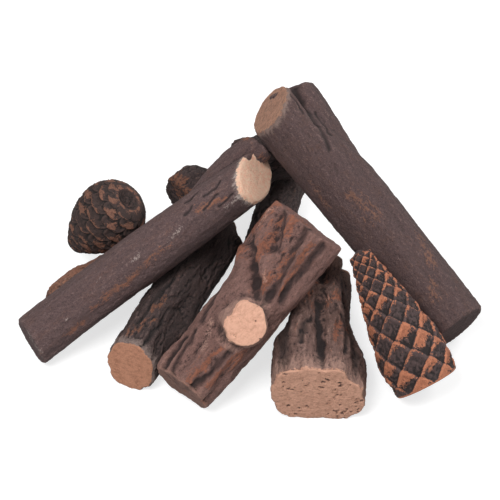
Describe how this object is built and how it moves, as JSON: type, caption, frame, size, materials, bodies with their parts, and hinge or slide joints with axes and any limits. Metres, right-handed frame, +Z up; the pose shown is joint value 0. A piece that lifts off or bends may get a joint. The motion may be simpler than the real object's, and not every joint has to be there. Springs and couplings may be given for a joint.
{
  "type": "gas log set",
  "caption": "Cast ceramic gas fire log set: forked, split and stub logs with furrowed bark and sawn ends, stacked loosely on a hearth with scaled pine cones.",
  "frame": {"origin": "on the hearth plane, under the middle of the set's bounding box", "axes": "+X to the right as seen from the front, +Y to the back and +Z up"},
  "size_m": [0.4154, 0.2992, 0.1713],
  "materials": {
    "red_brown_bark": "matte painted, red brown bark with peach sawn faces",
    "dark_bark": "matte painted, dark brown bark with tan sawn faces",
    "purple_grey_bark": "matte painted, purple grey bark with rust patches and cream sawn faces",
    "cone_scale": "matte painted, dark scales with terracotta edges"
  },
  "bodies": {
    "base_logs": {"front_right_log": "red_brown_bark", "middle_base_log": "dark_bark"},
    "front_left": {"front_left_log": "dark_bark"},
    "back_knobbly": {"back_knobbly_log": "dark_bark"},
    "left_long": {"left_long_log": "purple_grey_bark"},
    "right_forked": {"right_forked_log": "purple_grey_bark"},
    "centre_stub": {"centre_stub_log": "red_brown_bark"},
    "back_left": {"back_left_log": "dark_bark"},
    "left_cone": {"left_pine_cone": "cone_scale"},
    "right_cone": {"right_pine_cone": "cone_scale"}
  },
  "joints": [
    {"name": "front_left_lift", "type": "slide", "parent": "base_logs", "child": "front_left", "axis": [0, 0, 1], "range_m": [0, 0.18]},
    {"name": "back_knobbly_slide", "type": "slide", "parent": "front_left", "child": "back_knobbly", "axis": [0, 0.96, 0.28], "range_m": [0, 0.15]},
    {"name": "left_long_lift", "type": "slide", "parent": "front_left", "child": "left_long", "axis": [0, 0, 1], "range_m": [0, 0.18]},
    {"name": "right_forked_lift", "type": "slide", "parent": "left_long", "child": "right_forked", "axis": [0, 0, 1], "range_m": [0, 0.18]},
    {"name": "right_cone_slide", "type": "slide", "parent": "right_forked", "child": "right_cone", "axis": [0, -0.8, 0.6], "range_m": [0, 0.18]},
    {"name": "centre_stub_lift", "type": "slide", "parent": "base_logs", "child": "centre_stub", "axis": [0, 0, 1], "range_m": [0, 0.18]},
    {"name": "back_left_slide", "type": "slide", "parent": "base_logs", "child": "back_left", "axis": [-0.36, 0.48, 0.8], "range_m": [0, 0.18]},
    {"name": "left_cone_lift", "type": "slide", "parent": "back_left", "child": "left_cone", "axis": [0, 0, 1], "range_m": [0, 0.18]}
  ]
}
